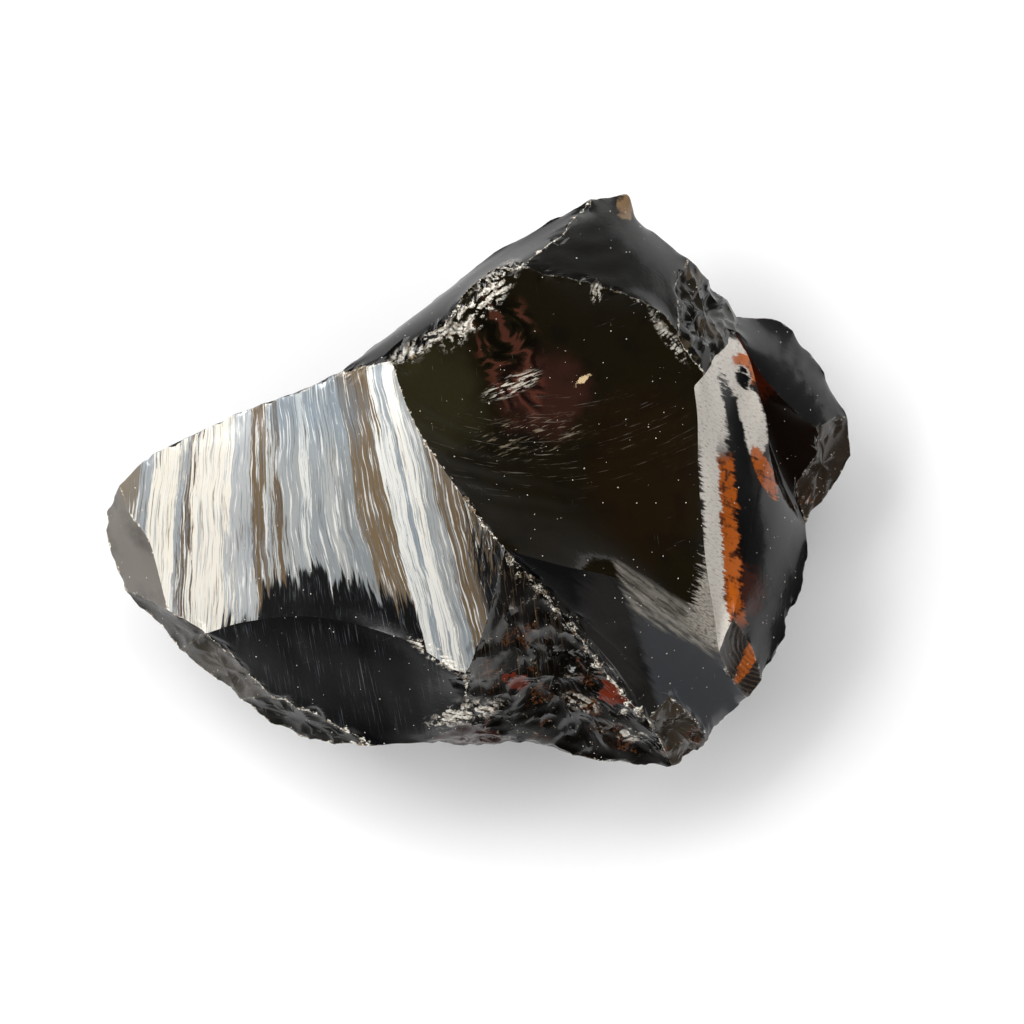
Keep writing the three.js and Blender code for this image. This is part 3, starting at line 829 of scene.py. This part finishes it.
def ribbed_sheen_and_reflection(g, x, y, mm, ribbed):
    """Cream, blue-grey and tan streaks that follow the ribs, and where they fade to black at the foot: the glass's
    own sheen, with the soft box's reflection on the ribs painted into it as white highlights and blue-grey
    reflection. The streaks lean with the ribs, more to the right; long thin noise frays their sides."""
    lean = g.ease(x, -25.0, -5.0) * 0.30 - 0.06
    lane = x + y * lean + (g.noise(mm, 0.16, 2.0) - 0.5) * 1.2
    middle = g.lanes((lane * 1.5, y * 0.05, 3.0), 3.0)
    fine = g.lanes((lane * 5.0, y * 0.16, 7.0), 4.0, 0.65)
    hair = g.lanes((lane * 15.0, y * 0.4, 11.0), 3.0, 0.6)
    frayed = lane + (middle - 0.5) * 3.4 + (fine - 0.5) * 3.0
    stops = [((at + 32.0) / 36.0, shade(colour)) for at, colour in SHEEN_REFLECTION_STREAKS]
    reflection_streaks = g.node("ShaderNodeValToRGB", {"interpolation": "CONSTANT", "stops": stops}, {0: (frayed + 32.0) / 36.0})
    # painted blue-grey reflection on the upper ribs
    upper_blue_reflection = g.ease(y, 1.0, 6.0) * g.oval(x, y, (-13.5, 5.0), (4.0, 4.5), 0, 0.6, (fine - 0.5) * 2.0)
    reflection_streaks = g.mix(reflection_streaks, (128, 147, 162), upper_blue_reflection * 0.45)
    thin = g.lanes((lane * 8.0, y * 0.12, 19.0), 4.0, 0.6)
    reflection_streaks = g.mix(reflection_streaks, (126, 142, 156), g.ease(thin, 0.54, 0.60) * 0.55)
    # painted highlights: thin white streaks on the ribs
    reflection_streaks = g.mix(reflection_streaks, (250, 249, 245), g.ease(fine, 0.56, 0.62) * 0.8)
    reflection_streaks = g.mix(reflection_streaks, (84, 72, 54), g.ease(fine, 0.42, 0.36) * 0.6)
    reflection_streaks = g.mix(reflection_streaks, (70, 60, 46), g.ease(hair, 0.38, 0.30) * 0.4)
    reflection_streaks = g.node("ShaderNodeVectorMath", {"operation": "SCALE"}, {"Vector": reflection_streaks, "Scale": SHEEN_LIGHT})
    run = x + 13.5
    tongue = g.ease(lane, -7.9, -7.3) * g.ease(lane, -3.6, -4.2)
    left = g.ease(x, -16.6, -18.4)
    edge = -7.4 - run * run * 0.045 - tongue * 3.6 - left * 1.7 + (middle - 0.5) * 7.0 + (fine - 0.5) * 6.0
    sheen_and_reflection = g.ease(y - edge, -0.45, 0.35)
    smoke = g.ease(hair, 0.56, 0.72) * g.ease(y - edge, -4.5, -0.5)
    black = g.mix((7, 7, 8), (116, 122, 128), smoke * 0.55)
    hatch = g.lanes((x * 5.0, y * 0.4, 2.0), 4.0, 0.7) + g.ease(y, -3.0, -11.0) * 0.14
    hatch = g.ease(hatch, 0.46, 0.56)
    right = g.ease(lane, -2.6, -1.4) * g.ease(y, 0.5, -5.0)
    return g.mix(black, reflection_streaks, sheen_and_reflection * (1 - right * hatch)), sheen_and_reflection * ribbed * (1 - right * hatch)


# the sheen's colours hold a painted reflection of the soft box
SHEEN_LIGHT = 0.88     # the sheen lies facing the key light, so its colours are held down
# The broad streaks of the sheen and its painted reflection: how far east each begins, and its colour.
SHEEN_REFLECTION_STREAKS = (
    (-32.0, (140, 128, 110)), (-28.4, (168, 172, 174)), (-27.4, (248, 241, 226)), (-24.9, (166, 170, 172)),
    (-24.3, (108, 90, 68)), (-23.8, (248, 241, 227)), (-20.6, (186, 188, 188)), (-19.0, (118, 99, 74)),
    (-17.7, (184, 185, 181)), (-17.3, (112, 94, 71)), (-16.4, (168, 171, 170)), (-14.7, (228, 228, 222)),
    (-14.0, (156, 160, 161)), (-12.6, (182, 183, 180)), (-11.6, (150, 154, 154)), (-10.4, (124, 105, 79)),
    (-7.6, (244, 243, 236)), (-6.6, (164, 171, 176)), (-5.9, (250, 247, 238)), (-4.9, (170, 173, 172)),
    (-3.6, (118, 100, 76)), (-1.9, (34, 28, 20)), (-1.3, (108, 92, 70)), (0.3, (62, 53, 40)),
)


def bowl_colours(g, colour, bowl, x, y, mm):
    """Olive-black glass with rust-brown tongues over a purple-brown stain, and pale arcs of fine scratches."""
    ragged = (g.noise(mm, 0.5, 4.0) - 0.5) * 1.4
    olive = g.oval(x, y, (-3.6, 7.4), (3.6, 5.0), 30, 0.7, ragged)
    body = g.mix(colour, (40, 37, 22), olive * 0.75)
    stain = g.oval(x, y, (5.4, 7.3), (3.7, 3.3), -12, 0.8, ragged * 1.6)
    body = g.mix(body, (50, 27, 22), stain * 0.75)
    sway = g.noise(mm, 0.3, 3.0, 0.55, 1.0)
    tongues = (x * 2.4 + y * 0.9 + sway * 20.0).math("SINE")
    tall = g.oval(x, y, (2.6, 10.8), (2.5, 5.4), 14, 0.5, ragged)
    body = g.mix(body, (5, 4, 3), tall * g.ease(tongues, 0.0, -0.7) * 0.7)
    body = g.mix(body, (88, 48, 37), tall * g.ease(tongues, 0.35, 0.95) * 0.5)
    away = g.away(x, y, BOWL_BLOW)
    arcs = g.lanes((away * 4.6 + x * 0.5, x * 0.20 + y * 0.05), 5.0, 0.70)
    zone = g.oval(x, y, (7.0, 3.4), (10.5, 3.6), 4, 0.9, ragged)
    body = g.mix(body, (150, 144, 130), zone * g.ease(arcs, 0.58, 0.72) * 0.6)
    knot = g.oval(x, y, (4.4, 3.9), (4.4, 1.7), 8, 0.8, ragged)
    curls = g.lanes((x * 0.7 + y * 0.4, y * 4.2 - x * 1.5, 4.0), 5.0, 0.66, 0.5)
    body = g.mix(body, (150, 138, 116), knot * g.ease(curls, 0.55, 0.68) * 0.6)
    wisp = g.oval(x, y, (2.7, 8.0), (2.4, 0.75), 24, 0.7, ragged)
    body = g.mix(body, (214, 206, 190), wisp * g.ease(curls, 0.50, 0.60) * 0.75)
    chip = g.oval(x, y, (8.6, 8.5), (0.7, 0.24), 38, 0.3, (g.noise(mm, 2.2, 4.0, 0.7) - 0.5) * 5.0)
    body = g.mix(body, (196, 172, 132), chip)
    warm = g.oval(x, y, (13.5, 1.0), (4.5, 7.0), 0, 0.8, ragged)
    return g.mix(colour, g.mix(body, (32, 17, 6), warm * 0.35), bowl)


WEDGE_POINT = (11.4, -6.6)


def slope_colours(g, colour, slope, bowl, x, y):
    """Black glass on the left, slate-grey on the right of a brushed edge, with a paler wedge along the gentle
    crease. Along and across are measured from the wedge's point."""
    dx, dy = x - WEDGE_POINT[0], y - WEDGE_POINT[1]
    along, across = dx * 0.80 - dy * 0.60, dx * 0.60 + dy * 0.80
    brush = g.lanes((along * 0.35, across * 2.6), 5.0, 0.7)
    stroke = (brush - 0.5) * 3.0
    right = g.ease(x - 11.5 + (y + 7.2) * 0.31 + stroke * 0.5, -0.35, 0.35)
    colour = g.mix(colour, (60, 61, 64), slope * right * 0.8)
    low = g.ease(across + 3.0 - along * 0.17 + stroke * 0.4, -0.4, 0.4)
    high = g.ease(across - 0.2 - along * 0.08 + stroke * 0.45, 0.25, -0.15)
    pale = g.mix((62, 59, 54), (130, 125, 117), g.ease(brush, 0.38, 0.62))
    colour = g.mix(colour, pale, either(slope, bowl) * right * low * high * g.ease(along, 12.5, 10.5) * 0.9)
    left = g.oval(x, y, (11.0, -11.4), (2.2, 5.6), 14, 0.8, stroke)
    return g.mix(colour, (44, 42, 40), slope * left * 0.5)


def band_colours(g, colour, banded, bowl, x, y):
    """Bands beside the bowl: a pale grey one, which is a painted reflection of a soft box and spills onto the bowl's
    edge, a mahogany one, a black one, then dark grey. Each one's edges are set by the way from the bowl's edge,
    frayed by slanting strokes."""
    lift = y - 3.0
    bowl_edge = 18.15 - y * 0.03 + g.ease(y, 3.0, 2.0) * lift * lift * 0.0045
    stroke = g.lanes((x * 0.55 - y * 0.26, x * 1.9 + y * 4.2), 4.0, 0.7) - 0.5
    mottle = g.lanes((x * 1.3, y * 0.8, 9.0), 5.0, 0.7) - 0.5
    fray = stroke * 1.5 + mottle * 1.1
    wander = (g.noise(g.vector(y, x * 0.2), 0.22, 1.0) - 0.5) * 0.9
    across = x - bowl_edge + fray + wander + g.ease(y, -4.0, -11.0) * 0.45
    reflection_mottle = g.lanes((x * 2.6 - y * 1.1, x * 6.0 + y * 9.0, 3.0), 4.0, 0.7)
    # painted reflection: the pale grey band, mottled paler and darker
    reflection_grey = g.mix((198, 192, 183), (118, 112, 104), g.ease(reflection_mottle, 0.52, 0.68))
    high = g.ease(y, 1.5, 4.5)
    pale = g.ease(across, 1.85, 1.6) * (1 - high) + g.ease(across, 2.75, 2.4) * high
    teeth = g.ease(x - bowl_edge + stroke * 2.4, 0.1, 0.35) * (1 - high) + high
    teeth = 1 - (1 - teeth) * g.ease(y, -6.0, -4.0)
    second = g.oval(x, y, (22.7, 5.1), (1.2, 3.1), 10, 0.15, fray)
    crown = g.oval(x, y, (20.6, 9.6), (2.7, 2.4), 40, 0.15, fray * 0.5)
    pale = either(pale, second, crown) * teeth
    hole = g.oval(x, y, (22.0, 8.8), (0.55, 0.95), 12, 0.35, fray * 3.2)
    slit = g.oval(x, y, (21.2, 5.4), (0.55, 3.9), 17, 0.25, fray * 2.2)
    dark = either(hole, slit)
    rust = g.ease(across, 1.6, 1.8) * g.ease(across, 3.2, 2.9) * g.ease(y, 2.8, 1.6) * g.ease(y, -12.5, -10.5)
    arc = g.oval(x, y, (22.1, 9.3), (1.15, 1.5), 8, 0.15, fray * 1.6) * g.ease(y + x * 1.1 + fray, 33.0, 33.6)
    arc = arc * (1 - g.oval(x, y, (21.85, 8.8), (0.8, 1.15), 8, 0.15, fray * 1.6))
    lower = g.oval(x, y, (23.8, 0.9), (0.7, 2.4), 26, 0.15, fray)
    rust = either(rust, arc, lower)
    black = g.ease(across, 2.6, 2.9) * g.ease(across, 4.9, 4.3) * g.ease(y, 6.0, 2.0)
    blush = g.oval(x, y, (22.4, -9.0), (1.3, 2.0), 0, 0.7, fray * 3.0) * 0.7
    body = g.mix(colour, (6, 6, 6), either(black, dark))
    body = g.mix(body, (60, 24, 12), blush)
    body = g.mix(body, reflection_grey, pale * (1 - dark))
    mahogany = g.mix((158, 76, 6), (70, 32, 8), g.ease(mottle + stroke * 0.5, -0.02, 0.14))
    body = g.mix(body, mahogany, rust * 0.92)
    colour = g.mix(colour, body, banded)
    # the painted reflection of the pale band spills onto the bowl's edge
    reflection_spill = g.ease(x - 18.75 + g.ease(y, -4.5, -11.5) * 1.5 + stroke * 4.0, 0.1, 0.5) * g.ease(y, -2.0, -5.0) * bowl
    spill_reflection_grey = g.mix((150, 144, 135), (78, 73, 66), g.ease(reflection_mottle, 0.44, 0.62))
    return g.mix(colour, spill_reflection_grey, reflection_spill * 0.9), pale * (1 - rust) * (1 - dark) * banded


def leaf_colours(g, colour, leaf, x, y, mm):
    """Fine dark rings, like a shell's, with a mahogany blush on the outer side."""
    away = g.away(x, y, LEAF_BLOW) + (g.noise(mm, 0.8, 2.0) - 0.5) * 0.5
    lines = g.ease((away * 16.0).math("SINE"), 0.2, 0.9)
    blush = g.oval(x, y, (22.7, -14.2), (0.62, 2.3), -24, 0.3, (g.noise(mm, 1.2, 4.0) - 0.5) * 3.4)
    shell = g.mix((18, 13, 9), (74, 56, 40), lines * 0.6)
    shell = g.mix(shell, g.mix((158, 78, 10), (104, 48, 8), lines * 0.7), blush)
    return g.mix(colour, shell, leaf)


def chip_colours(g, colour, crumbled, smoky, lobe_wall, x, y, mm, grain):
    """Small scars: smoky, amber and rust-coloured where the glass is thin, and pale spots that are crushed glass with
    painted glints. The top corner is tan, and the wall below the lobe turns rust-red towards its upper left."""
    pick = g.node("ShaderNodeSeparateColor", {}, {0: g.cells(mm, 0.75, "Color")})
    smoke = g.mix((15, 13, 10), (84, 74, 60), pick * pick)
    colour = g.mix(colour, smoke, smoky * g.ease(g.noise(mm, 0.5, 4.0), 0.45, 0.6) * 0.7)
    upright = g.lanes((x * 4.2 + y * 0.5, y * 0.22, 6.0), 5.0, 0.7)
    streaky = g.ease(x, 9.0, 3.0) * g.ease(y, -19.0, -15.0)
    body = g.mix(colour, (92, 76, 54), streaky * g.ease(upright, 0.52, 0.66) * 0.75)
    ember = g.ease(pick.other("Green"), 0.80, 0.95) * g.ease(grain, 0.45, 0.6)
    body = g.mix(body, (84, 48, 24), ember * 0.8)
    # pale spots: crushed glass and painted glints
    pale_chip_glints = g.ease(g.noise(mm, 1.4, 6.0, 0.78), 0.60, 0.68)
    body = g.mix(body, (176, 164, 144), pale_chip_glints * 0.6)
    torn = (g.noise(mm, 1.1, 3.0) - 0.5) * 5.0
    for middle, half, turn in RUST_SPOTS:
        body = g.mix(body, (92, 34, 18), g.oval(x, y, middle, half, turn, 0.2, torn))
    colour = g.mix(colour, body, crumbled)
    tan = g.oval(x, y, (12.5, 23.3), (0.85, 1.5), -25, 0.4, torn * 0.6)
    colour = g.mix(colour, (122, 98, 72), tan * 0.85)
    wall = g.mix((16, 9, 6), (70, 26, 12), g.ease(x * 0.6 - y * 0.8 + (grain - 0.5) * 3, 9.4, 7.2))
    return g.mix(colour, wall, lobe_wall)


# Rust-red spots in the crumbled break: middle, half widths and turn in degrees.
RUST_SPOTS = ((3.3, -16.4), (1.15, 0.6), -25), ((11.4, -17.4), (1.4, 0.9), -35)
# Marks of small flakes with painted glints on them: middle, half widths, turn in degrees, the point their curved
# lines run round, the lines' pitch, and how much they cover.
FLAKE_GLINTS = (
    ((0.2, 14.6), (4.2, 1.2), 50, (5.5, 10.0), 0.75, 1.0), ((-4.3, 11.5), (3.6, 0.7), 27, (0.0, 8.0), 0.6, 0.7),
    ((15.6, 12.0), (2.6, 0.5), -55, (11.0, 18.5), 0.42, 0.5), ((9.7, 15.6), (0.5, 0.9), 0, (7.0, 17.5), 0.4, 0.6),
    ((-1.0, -19.0), (3.2, 0.9), 14, (-3.5, -25.0), 0.55, 0.95),
    ((-3.2, -14.2), (2.8, 0.6), -32, (-4.0, -8.0), 0.4, 0.85),
    ((8.6, -18.2), (1.7, 0.7), -20, (6.0, -22.0), 0.7, 0.55),
    ((12.8, -21.0), (1.3, 0.6), -10, (12.0, -24.0), 0.6, 0.7),
    ((11.9, -19.2), (0.75, 0.3), 50, (10.0, -20.0), 2.0, 0.9),
)


def flake_marks_and_glints(g, x, y, mm):
    """Curved pale lines in torn patches, marks of small flakes with painted glints on them: circles round each
    patch's own point, at its own pitch.
    """
    wander = g.noise(mm, 0.45, 2.0, 0.5) - 0.5
    torn = g.noise(mm, 1.0, 5.0, 0.7)
    marks = []
    for middle, half, turn, point, pitch, cover in FLAKE_GLINTS:
        away = g.away(x, y, point) + wander * 2.4
        lines = g.ease((away * (2 * math.pi / pitch)).math("SINE") + (torn - 0.5) * 7.0, -0.75, 0.1)
        patch = g.oval(x, y, middle, half, turn, 0.6, (torn - 0.5) * 5.0)
        marks.append(patch * lines * g.ease(torn, 0.45, 0.51) * cover)
    return either(*marks)


def brushed_scratches(g, x, y, mm):
    """Hair-fine scratches in two directions, in patches."""
    one = g.lanes((x * 7.0 + y * 1.0, y * 0.35), 3.0, 0.6)
    two = g.lanes((x * 0.3 + y * 0.1, y * 6.0 - x * 2.4, 5.0), 3.0, 0.6)
    patch = g.ease(g.noise(mm, 0.18, 3.0), 0.48, 0.66)
    return (g.ease(one, 0.68, 0.76) + g.ease(two, 0.67, 0.76)) * patch


def crushed_rims_and_glints(g, gap, crush, mm):
    """Pale crushed glass and painted glints of the chipped edges, within a few tenths of a millimetre of a chipped
    crease, broken up by noise.
    """
    torn = g.noise(mm, 1.1, 5.0, 0.75)
    width = crush * 0.62 * g.ease(torn, 0.46, 0.70) + 0.015
    bits = g.ease(g.noise(mm, 5.0, 3.0, 0.7), 0.40, 0.54)
    rim = g.ease(gap / width, 1.1, 0.6) * g.ease(crush * torn, 0.12, 0.34) * bits
    rim_glint_hue = g.mix((232, 227, 214), (124, 106, 84), g.ease(g.noise(mm, 2.4, 3.0), 0.42, 0.60))
    return rim, rim_glint_hue


def dust_specks(g, mm):
    """Sparse white specks: a dot at the middle of one cell in several, its size set by the cell's own number."""
    pick = g.node("ShaderNodeSeparateColor", {}, {0: g.cells(mm, 3.2, "Color")})
    size = (pick.other("Green") * pick.other("Green") + 0.25) * 0.16
    return (g.cells(mm, 3.2) < size) * (pick > 0.84)


# ---------------------------------------------------------------- the studio

def plain(name, colour, roughness):
    material = bpy.data.materials.new(name)
    g = Graph(material)
    surface = g.node("ShaderNodeBsdfPrincipled", {}, {"Base Color": (*colour, 1), "Roughness": roughness})
    g.node("ShaderNodeOutputMaterial", {}, {"Surface": surface})
    return material


def studio():
    """A pale floor, a sky that is pale at the horizon and dark overhead, and the soft boxes."""
    half = FLOOR_HALF
    mesh = bpy.data.meshes.new("floor")
    mesh.from_pydata([(-half, -half, 0), (half, -half, 0), (half, half, 0), (-half, half, 0)], [], [(0, 1, 2, 3)])
    floor = bpy.data.objects.new("floor", mesh)
    mesh.materials.append(plain("pale floor", (0.88, 0.88, 0.88), 0.7))
    bpy.context.scene.collection.objects.link(floor)

    world = bpy.data.worlds.new("studio")
    bpy.context.scene.world = world
    g = Graph(world)
    way = g.node("ShaderNodeTexCoord", {}, {}, "Generated")
    east = g.node("ShaderNodeSeparateXYZ", {}, {0: way})
    light = g.node("ShaderNodeValToRGB", {"stops": [(at, (v, v, v)) for at, v in SKY]}, {0: east.other("Z")})
    light = g.node("ShaderNodeVectorMath", {"operation": "SCALE"}, {0: light, "Scale": 0.62 - east * 0.38})
    back = g.node("ShaderNodeBackground", {}, {"Color": light})
    g.node("ShaderNodeOutputWorld", {}, {"Surface": back})
    for name, azimuth, elevation, distance, width, watts, mirrored in BOXES:
        lamp = bpy.data.lights.new(name, "AREA")
        lamp.shape, lamp.size, lamp.energy = "SQUARE", width, watts
        box = bpy.data.objects.new(name, lamp)
        a, e = math.radians(azimuth), math.radians(elevation)
        box.location = (distance * math.cos(e) * math.cos(a), distance * math.cos(e) * math.sin(a),
                        distance * math.sin(e))
        box.rotation_euler = (math.pi / 2 - e, 0, a + math.pi / 2)
        box.visible_camera, box.visible_glossy = False, mirrored
        bpy.context.scene.collection.objects.link(box)


FLOOR_HALF = 0.6       # half the floor's width, in metres
# The sky's light at heights from the horizon, 0, to overhead, 1. The west is the brighter side.
SKY = ((0.0, 0.75), (0.2, 0.5), (0.45, 0.2), (0.66, 0.05), (0.85, 0.012))
# Soft boxes: name, azimuth and elevation in degrees, distance and width in metres, watts, and whether the glass
# mirrors it.
BOXES = (("key", 140, 46, 0.62, 0.34, 2.9, True), ("side", 186, 40, 0.60, 0.36, 1.5, False),
         ("north", 86, 52, 0.7, 0.4, 1.6, False), ("south", 280, 56, 0.7, 0.4, 1.2, False),
         ("east", 8, 50, 0.7, 0.4, 1.5, False))


def camera():
    """Looks straight down on the stone through a long lens, a little right of its middle and in front of it."""
    data = bpy.data.cameras.new("camera")
    data.lens = data.sensor_width * CAMERA_DISTANCE / VIEW_WIDTH
    data.clip_start = 0.01
    eye = bpy.data.objects.new("camera", data)
    height = CAD_LOW[2] + (CAMERA_DISTANCE + FOCUS_HEIGHT) * MM
    eye.location = (CAD_MIDDLE[0] + AIM[0] * MM, CAD_MIDDLE[1] + AIM[1] * MM, height)
    bpy.context.scene.collection.objects.link(eye)
    bpy.context.scene.camera = eye


CAMERA_DISTANCE = 450.0
VIEW_WIDTH = 85.33     # how much the picture shows across, at the height in focus
FOCUS_HEIGHT = 14.0
AIM = (2.8, -2.35)     # where the camera looks, from the stone's middle

camera()
studio()
stone = build_stone()
stone.data.materials.append(volcanic_glass())
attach(stone, "root")
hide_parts("obsidian_chunk")
bpy.context.scene.view_settings.view_transform = "Standard"
